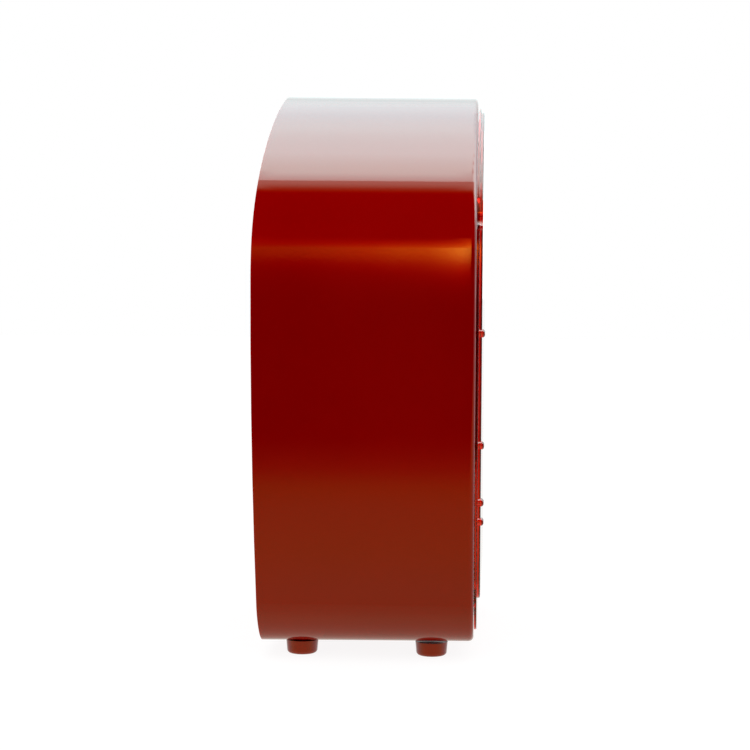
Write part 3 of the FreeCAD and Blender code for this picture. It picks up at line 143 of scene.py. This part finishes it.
def dust_mask(nodes, links, place):
    """A sparse mask of dust specks in loose patches, 0 on clean surface."""
    specks = nodes.new("ShaderNodeTexVoronoi")
    specks.inputs["Scale"].default_value = DUST_SPECKS
    links.new(place, specks.inputs["Vector"])
    dots = ramp(nodes, links, specks.outputs["Distance"], [(0.0, 1.0), (0.035, 0.0)])
    patches = ramp(nodes, links, noise(nodes, links, place, scale=60, detail=2), [(0.56, 0.0), (0.66, 1.0)])
    return mix_colour(nodes, links, 1.0, dots, patches, "MULTIPLY")


def ruby_material(name, light, deep, clear=False):
    """High-gloss moulded ruby plastic. The clear one lets the pendulum show through it."""
    material, nodes, links, shader = new_material(name)
    place = object_coordinates(nodes, links)
    tone = ramp(nodes, links, noise(nodes, links, place, scale=18, detail=3), [(0.3, deep), (0.7, light)])
    dusty = mix_colour(nodes, links, dust_mask(nodes, links, place), tone, DUST)
    links.new(mix_colour(nodes, links, DUST_STRENGTH, tone, dusty), shader.inputs["Base Color"])
    haze = ramp(nodes, links, noise(nodes, links, place, scale=35, detail=4), HAZE)
    links.new(haze, shader.inputs["Roughness"])
    flow = noise(nodes, links, place, scale=9, detail=2)
    fine = noise(nodes, links, place, scale=900, detail=2)
    waves = bump(nodes, links, flow, distance=0.12 * MM, strength=0.35)
    normal = bump(nodes, links, fine, distance=0.004 * MM, strength=0.25, below=waves)
    links.new(normal, shader.inputs["Normal"])
    if clear:
        shader.inputs["Transmission Weight"].default_value = CLEAR_SHARE
        shader.inputs["IOR"].default_value = CLEAR_IOR
    else:
        shader.inputs["IOR"].default_value = OPAQUE_IOR
        shader.inputs["Subsurface Weight"].default_value = SUBSURFACE_SHARE
        shader.inputs["Subsurface Scale"].default_value = SUBSURFACE_DEPTH
        shader.inputs["Subsurface Radius"].default_value = SUBSURFACE_RADIUS
    return material


TARNISH_SHADE = 0.75
ROUGHNESS_RANGE = (0.7, 1.35)


def metal_material(name, colour, roughness, grain, grain_scale=(1, 1, 1)):
    """Metal with faint tarnish and a grain, drawn out along any axis whose grain scale is small."""
    material, nodes, links, shader = new_material(name)
    place = object_coordinates(nodes, links)
    shade = tuple(channel * TARNISH_SHADE for channel in colour)
    tarnish = noise(nodes, links, place, scale=220, detail=5)
    links.new(ramp(nodes, links, tarnish, [(0.32, shade), (0.62, colour)]), shader.inputs["Base Color"])
    shader.inputs["Metallic"].default_value = 1.0
    low, high = (roughness * share for share in ROUGHNESS_RANGE)
    wear = noise(nodes, links, place, scale=400, detail=3)
    links.new(ramp(nodes, links, wear, [(0.3, low), (0.7, high)]), shader.inputs["Roughness"])
    lines = noise(nodes, links, object_coordinates(nodes, links, grain_scale), scale=900, detail=3)
    links.new(bump(nodes, links, lines, distance=0.02 * MM, strength=grain), shader.inputs["Normal"])
    return material


LIGHTER_GAIN = 1.25
LIGHTER_LIFT = 0.004


def plastic_material(name, colour, roughness, texture_strength):
    """Moulded plastic with a fine spark-eroded texture."""
    material, nodes, links, shader = new_material(name)
    place = object_coordinates(nodes, links)
    lighter = tuple(channel * LIGHTER_GAIN + LIGHTER_LIFT for channel in colour)
    clouds = noise(nodes, links, place, scale=300, detail=4)
    links.new(ramp(nodes, links, clouds, [(0.3, colour), (0.7, lighter)]), shader.inputs["Base Color"])
    shader.inputs["Roughness"].default_value = roughness
    texture = noise(nodes, links, place, scale=2600, detail=2)
    bumped = bump(nodes, links, texture, distance=0.03 * MM, strength=texture_strength)
    links.new(bumped, shader.inputs["Normal"])
    return material


ENAMEL_YELLOWING = (0.95, 0.92, 0.85)
ENAMEL_ROUGHNESS = 0.38


def enamel_material(name, colour):
    """Satin enamel, slightly yellowed in patches, for the face of the tempo scale."""
    material, nodes, links, shader = new_material(name)
    place = object_coordinates(nodes, links)
    warm = tuple(channel * share for channel, share in zip(colour, ENAMEL_YELLOWING))
    patches = noise(nodes, links, place, scale=40, detail=5)
    links.new(ramp(nodes, links, patches, [(0.35, warm), (0.65, colour)]), shader.inputs["Base Color"])
    shader.inputs["Roughness"].default_value = ENAMEL_ROUGHNESS
    ripple = noise(nodes, links, place, scale=1500, detail=2)
    links.new(bump(nodes, links, ripple, distance=0.01 * MM, strength=0.3), shader.inputs["Normal"])
    return material


ALONG_Z = (1, 1, 0.04)
ALONG_YZ = (1, 0.05, 0.05)

SLOT_MATERIALS = {
    "ruby_case": ruby_material("ruby_gloss", RUBY, RUBY_DEEP),
    "ruby_clear": ruby_material("ruby_clear_cover", CLEAR, CLEAR_DEEP, clear=True),
    "black_plastic": plastic_material(
        "black_moulding", (0.014, 0.014, 0.015), roughness=0.42, texture_strength=0.5,
    ),
    "scale_card": enamel_material("scale_enamel", (0.82, 0.80, 0.74)),
    "bright_steel": metal_material(
        "bright_steel", (0.56, 0.57, 0.58), roughness=0.24, grain=0.25, grain_scale=ALONG_Z,
    ),
    "blue_steel": metal_material("blued_steel", (0.09, 0.12, 0.24), roughness=0.3, grain=0.1),
    "weight_metal": metal_material("polished_nickel", (0.72, 0.71, 0.68), roughness=0.12, grain=0.08),
    "brass": metal_material(
        "machined_brass", (0.72, 0.50, 0.17), roughness=0.25, grain=0.2, grain_scale=ALONG_YZ,
    ),
    "zinc": metal_material("cast_zinc", (0.33, 0.34, 0.35), roughness=0.5, grain=0.8),
    "key_metal": metal_material("nickel_key", (0.74, 0.73, 0.70), roughness=0.14, grain=0.06),
}
for part in frame["record"]["subparts"]:
    target = NODES[part["node"]]
    target.data.materials.clear()
    target.data.materials.append(SLOT_MATERIALS[part["material_slot"]])

# ---------------------------------------------------------------- printing on the tempo scale

TEMPOS = [40, 44, 48, 52, 56, 60, 66, 72, 80, 88, 96, 104, 112, 120, 132, 144, 160, 176, 192, 208]
PRINT_DEPTH = 0.04 * MM
PRINT_MARGIN = 4.0 * MM
TICK_START = 3.6 * MM
TICK_LENGTH = 3.2 * MM
TICK_HEIGHT = 0.45 * MM
TICK_END_STEPS = 6
NUMBER_SIZE = 3.4 * MM
NUMBER_PLACE = 9.9 * MM
NUMBER_CURVE_STEPS = 3
INK = (0.012, 0.012, 0.014)


def add_tick(mesh, x, z, front):
    """A printed bar centred on (x, z), standing proud of the scale's face, from two half rounds."""
    half = TICK_HEIGHT / 2
    straight = TICK_LENGTH / 2 - half
    ring = []
    for side in (1, -1):
        for i in range(TICK_END_STEPS + 1):
            turn = side * math.pi * (0.5 - i / TICK_END_STEPS) + (0 if side > 0 else math.pi)
            ring.append((x + side * straight + half * math.cos(turn), z + half * math.sin(turn)))
    raised = [mesh.verts.new((u, front - PRINT_DEPTH, v)) for u, v in ring]
    base = [mesh.verts.new((u, front, v)) for u, v in ring]
    mesh.faces.new(raised)
    for i, vertex in enumerate(raised):
        after = (i + 1) % len(ring)
        mesh.faces.new((vertex, base[i], base[after], raised[after]))


def add_number(mesh, value, x, z, front):
    """A tempo number as thin raised print, upright and facing the front."""
    curve = bpy.data.curves.new("number", "FONT")
    curve.body = str(value)
    curve.size = NUMBER_SIZE
    curve.align_x = "CENTER"
    curve.align_y = "CENTER"
    curve.extrude = PRINT_DEPTH / 2
    curve.resolution_u = NUMBER_CURVE_STEPS
    holder = bpy.data.objects.new("number", curve)
    bpy.context.scene.collection.objects.link(holder)
    place = Matrix.Translation((x, front - PRINT_DEPTH / 2, z))
    holder.matrix_world = place @ Matrix.Rotation(math.pi / 2, 4, "X")
    bpy.context.view_layer.update()
    evaluated = holder.evaluated_get(bpy.context.evaluated_depsgraph_get())
    outline = bpy.data.meshes.new_from_object(evaluated)
    outline.transform(holder.matrix_world)
    mesh.from_mesh(outline)
    bpy.data.objects.remove(holder)
    bpy.data.meshes.remove(outline)
    bpy.data.curves.remove(curve)


def print_scale():
    """Ticks and tempo numbers, left and right in turn, down the scale's face."""
    low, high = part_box("tempo_scale")
    front = low[1]
    pitch = (high[2] - low[2] - 2 * PRINT_MARGIN) / (len(TEMPOS) - 1)
    ink = plastic_material("printing_ink", INK, roughness=0.5, texture_strength=0.3)
    ticks, numbers = bmesh.new(), bmesh.new()
    for i, tempo in enumerate(TEMPOS):
        side = -1 if i % 2 == 0 else 1
        z = high[2] - PRINT_MARGIN - i * pitch
        add_tick(ticks, side * (TICK_START + TICK_LENGTH / 2), z, front)
        add_number(numbers, tempo, side * NUMBER_PLACE, z, front)
    for name, mesh in (("scale_ticks", ticks), ("scale_numbers", numbers)):
        bmesh.ops.recalc_face_normals(mesh, faces=mesh.faces)
        data = bpy.data.meshes.new(name)
        mesh.to_mesh(data)
        mesh.free()
        data.materials.append(ink)
        piece = bpy.data.objects.new(name, data)
        bpy.context.scene.collection.objects.link(piece)
        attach(piece, "case")


print_scale()

# ---------------------------------------------------------------- floor, light and camera

FLOOR_SIZE = 8.0
FLOOR_GREY = 0.15
FLOOR_ROUGHNESS = 0.8
FLOOR_GLOW = 0.90


def make_floor():
    """A plain pale floor. Its own glow keeps it as pale as the backdrop, with a soft contact shadow."""
    bpy.ops.mesh.primitive_plane_add(size=FLOOR_SIZE, location=(0, 0, 0))
    floor = bpy.context.object
    floor.name = "floor"
    material, _, _, shader = new_material("pale_floor")
    shader.inputs["Base Color"].default_value = (FLOOR_GREY, FLOOR_GREY, FLOOR_GREY, 1)
    shader.inputs["Roughness"].default_value = FLOOR_ROUGHNESS
    shader.inputs["Specular IOR Level"].default_value = 0.0
    shader.inputs["Emission Color"].default_value = (1, 1, 1, 1)
    shader.inputs["Emission Strength"].default_value = FLOOR_GLOW
    floor.data.materials.append(material)
    floor.visible_glossy = False


# The studio as the gloss sees it, by angle round the case's depth axis: 0 level on the -X side,
# 90 overhead, 180 level on the +X side, below the horizon negative. Radiance as (red, green, blue).
SOFTBOX_PEAK = 10.7
STUDIO = [
    (-180, (1.00, 1.00, 1.00)),
    (-130, (0.90, 0.85, 0.70)),
    (-88, (0.90, 0.85, 0.55)),
    (-50, (0.95, 0.80, 0.40)),
    (-20, (0.95, 0.58, 0.24)),
    (-12, (0.95, 0.52, 0.20)),
    (11, (2.0, 0.0, 0.0)),
    (25, (1.8, 0.0, 0.0)),
    (49.5, (2.1, 0.0, 0.0)),
    (51, (2.5, 0.04, 0.0)),
    (52.2, (2.85, 0.15, 0.02)),
    (53.6, (3.2, 0.55, 0.25)),
    (55.1, (4.2, 1.5, 1.05)),
    (56.5, (5.1, 2.2, 1.7)),
    (62.9, (5.9, 2.85, 2.4)),
    (64.3, (6.6, 4.0, 3.5)),
    (65.3, (7.9, 5.65, 5.05)),
    (66.5, (8.1, 6.9, 6.5)),
    (69, (9.9, 9.5, 8.9)),
    (83, (10.3, 10.7, 10.5)),
    (105, (7.7, 8.7, 8.7)),
    (121, (5.0, 6.0, 6.2)),
    (151, (1.7, 2.1, 2.1)),
    (180, (1.40, 1.40, 1.40)),
]
# The narrow span near the horizon on the -X side, where a long flat flank needs finer steps.
HORIZON_LOW, HORIZON_HIGH = -12.0, 11.0
HORIZON = [
    (-12, (0.95, 0.52, 0.20)),
    (-9.1, (0.96, 0.51, 0.19)),
    (-7.9, (1.14, 0.46, 0.12)),
    (-6.6, (1.23, 0.38, 0.10)),
    (-6.0, (1.30, 0.31, 0.05)),
    (-5.4, (1.00, 0.09, 0.02)),
    (-4.5, (0.20, 0.0, 0.0)),
    (-3.8, (0.0, 0.0, 0.0)),
    (-0.4, (0.0, 0.0, 0.0)),
    (6.0, (0.6, 0.0, 0.0)),
    (8, (1.9, 0.0, 0.0)),
    (11, (2.0, 0.0, 0.0)),
]
# Towards the front and back of the case the studio is paler and even, by height from -1 to 1.
ENDS = [
    (-1.0, (0.9, 0.9, 0.9)),
    (-0.12, (0.8, 0.8, 0.8)),
    (-0.04, (0.5, 0.5, 0.5)),
    (0.10, (0.9, 0.9, 0.9)),
    (0.45, (1.8, 1.8, 1.8)),
    (0.80, (4.0, 4.0, 4.0)),
    (1.0, (7.0, 7.0, 7.0)),
]
END_START, END_FULL = 0.94, 0.99
# The warm glow near the horizon: its share by the same angle, and its radiance by the direction's Y.
# The spread's stops start at a Y of -GLOW_OFFSET * GLOW_REACH and span GLOW_REACH.
GLOW_PEAK = 17.0
GLOW = [
    (-0.2, (0.0, 0.0, 0.0)),
    (0.3, (0.03, 0.0, 0.0)),
    (0.8, (0.15, 0.0, 0.0)),
    (1.13, (0.40, 0.0, 0.0)),
    (1.32, (0.72, 0.45, 0.45)),
    (1.5, (0.92, 0.80, 0.80)),
    (1.7, (0.95, 0.82, 0.82)),
    (4.6, (0.95, 0.82, 0.80)),
    (5.6, (0.84, 0.60, 0.55)),
    (6.8, (0.60, 0.27, 0.20)),
    (8.2, (0.33, 0.09, 0.05)),
    (10.5, (0.0, 0.0, 0.0)),
]
GLOW_SPREAD = [
    (0.0, (0.0, 0.0, 0.0)),
    (0.095, (1.0, 0.0, 0.0)),
    (0.125, (17.0, 5.6, 0.50)),
    (0.16, (16.0, 5.0, 0.36)),
    (0.20, (12.5, 3.0, 0.18)),
    (0.29, (8.5, 1.35, 0.06)),
    (0.41, (7.6, 1.15, 0.05)),
    (0.54, (6.0, 0.62, 0.03)),
    (0.83, (3.6, 0.34, 0.02)),
    (1.0, (3.2, 0.30, 0.01)),
]
GLOW_REACH = 0.128
GLOW_OFFSET = 0.158


def math_node(nodes, links, operation, *values):
    """A Math node of sockets or plain numbers."""
    node = nodes.new("ShaderNodeMath")
    node.operation = operation
    for socket, value in zip(node.inputs, values):
        if isinstance(value, bpy.types.NodeSocket):
            links.new(value, socket)
        else:
            socket.default_value = value
    return node.outputs[0]


def scaled(stops, low, high, peak):
    """Stops for a colour ramp: places from low to high moved to 0 to 1, colours as shares of the peak."""
    return [((at - low) / (high - low), tuple(c / peak for c in colour)) for at, colour in stops]


def background(nodes, links, colour, strength):
    node = nodes.new("ShaderNodeBackground")
    node.inputs["Strength"].default_value = strength
    if isinstance(colour, bpy.types.NodeSocket):
        links.new(colour, node.inputs["Color"])
    else:
        node.inputs["Color"].default_value = (*colour, 1)
    return node.outputs[0]


def studio_colours(nodes, links, degrees, near, depth, up):
    """The studio round the case, with finer steps near the horizon, and its paler front and rear ends."""
    whole = math_node(nodes, links, "MULTIPLY_ADD", degrees, 1 / 360, 0.5)
    studio = ramp(nodes, links, whole, scaled(STUDIO, -180, 180, SOFTBOX_PEAK))
    horizon = ramp(nodes, links, near, scaled(HORIZON, HORIZON_LOW, HORIZON_HIGH, SOFTBOX_PEAK))
    inside = math_node(
        nodes, links, "MULTIPLY",
        math_node(nodes, links, "GREATER_THAN", near, 0.0),
        math_node(nodes, links, "LESS_THAN", near, 1.0),
    )
    round_case = mix_colour(nodes, links, inside, studio, horizon)
    height = math_node(nodes, links, "MULTIPLY_ADD", up, 0.5, 0.5)
    ends = ramp(nodes, links, height, scaled(ENDS, -1, 1, SOFTBOX_PEAK))
    sideways = math_node(nodes, links, "ABSOLUTE", depth)
    towards_end = ramp(nodes, links, sideways, [(END_START, 0.0), (END_FULL, 1.0)])
    return mix_colour(nodes, links, towards_end, round_case, ends)


def glow_colours(nodes, links, near, depth):
    span = HORIZON_HIGH - HORIZON_LOW
    band = ramp(nodes, links, near, [((at - HORIZON_LOW) / span, share) for at, share in GLOW])
    reach = math_node(nodes, links, "MULTIPLY_ADD", depth, 1 / GLOW_REACH, GLOW_OFFSET)
    spread = ramp(nodes, links, reach, scaled(GLOW_SPREAD, 0, 1, GLOW_PEAK))
    return mix_colour(nodes, links, 1.0, band, spread, "MULTIPLY")


def make_world():
    """Gloss sees the studio and the low glow. All other rays see plain white."""
    world = bpy.data.worlds.new("studio")
    world.use_nodes = True
    nodes, links = world.node_tree.nodes, world.node_tree.links
    nodes.clear()
    direction = nodes.new("ShaderNodeTexCoord").outputs["Generated"]
    axes = nodes.new("ShaderNodeSeparateXYZ")
    links.new(direction, axes.inputs[0])
    across, depth, up = axes.outputs
    angle = math_node(nodes, links, "ARCTAN2", up, math_node(nodes, links, "MULTIPLY", across, -1.0))
    degrees = math_node(nodes, links, "MULTIPLY", angle, 180 / math.pi)
    span = HORIZON_HIGH - HORIZON_LOW
    near = math_node(nodes, links, "MULTIPLY_ADD", degrees, 1 / span, -HORIZON_LOW / span)
    surroundings = studio_colours(nodes, links, degrees, near, depth, up)
    glow = glow_colours(nodes, links, near, depth)
    gloss = nodes.new("ShaderNodeAddShader")
    links.new(background(nodes, links, surroundings, SOFTBOX_PEAK), gloss.inputs[0])
    links.new(background(nodes, links, glow, GLOW_PEAK), gloss.inputs[1])
    plain = background(nodes, links, (1.0, 1.0, 1.0), 1.0)
    path = nodes.new("ShaderNodeLightPath")
    both = nodes.new("ShaderNodeMixShader")
    links.new(path.outputs["Is Glossy Ray"], both.inputs[0])
    links.new(plain, both.inputs[1])
    links.new(gloss.outputs[0], both.inputs[2])
    output = nodes.new("ShaderNodeOutputWorld")
    links.new(both.outputs[0], output.inputs["Surface"])
    bpy.context.scene.world = world


# The camera stands off the -X side, turned a little towards the front and looking slightly down.
CAMERA_YAW = 3.8
CAMERA_PITCH = 2.4
CAMERA_ROLL = 0.36
CAMERA_DISTANCE = 550 * MM
CAMERA_TARGET = (0, 0.26 * MM, 76.74 * MM)
CAMERA_LENS = 87.7584
CAMERA_SENSOR = 36
CAMERA_NEAREST = 10 * MM


def make_camera():
    yaw, pitch, roll = (math.radians(turn) for turn in (CAMERA_YAW, CAMERA_PITCH, CAMERA_ROLL))
    back = Vector((-math.cos(pitch) * math.cos(yaw), -math.cos(pitch) * math.sin(yaw), math.sin(pitch)))
    data = bpy.data.cameras.new("camera")
    data.sensor_width = CAMERA_SENSOR
    data.lens = CAMERA_LENS
    data.clip_start = CAMERA_NEAREST
    camera = bpy.data.objects.new("camera", data)
    place = Matrix.Translation(Vector(CAMERA_TARGET) + back * CAMERA_DISTANCE)
    facing = (-back).to_track_quat("-Z", "Y").to_matrix().to_4x4()
    camera.matrix_world = place @ facing @ Matrix.Rotation(roll, 4, "Z")
    bpy.context.scene.collection.objects.link(camera)
    bpy.context.scene.camera = camera


make_floor()
make_camera()
make_world()
bpy.context.scene.view_settings.view_transform = "Standard"
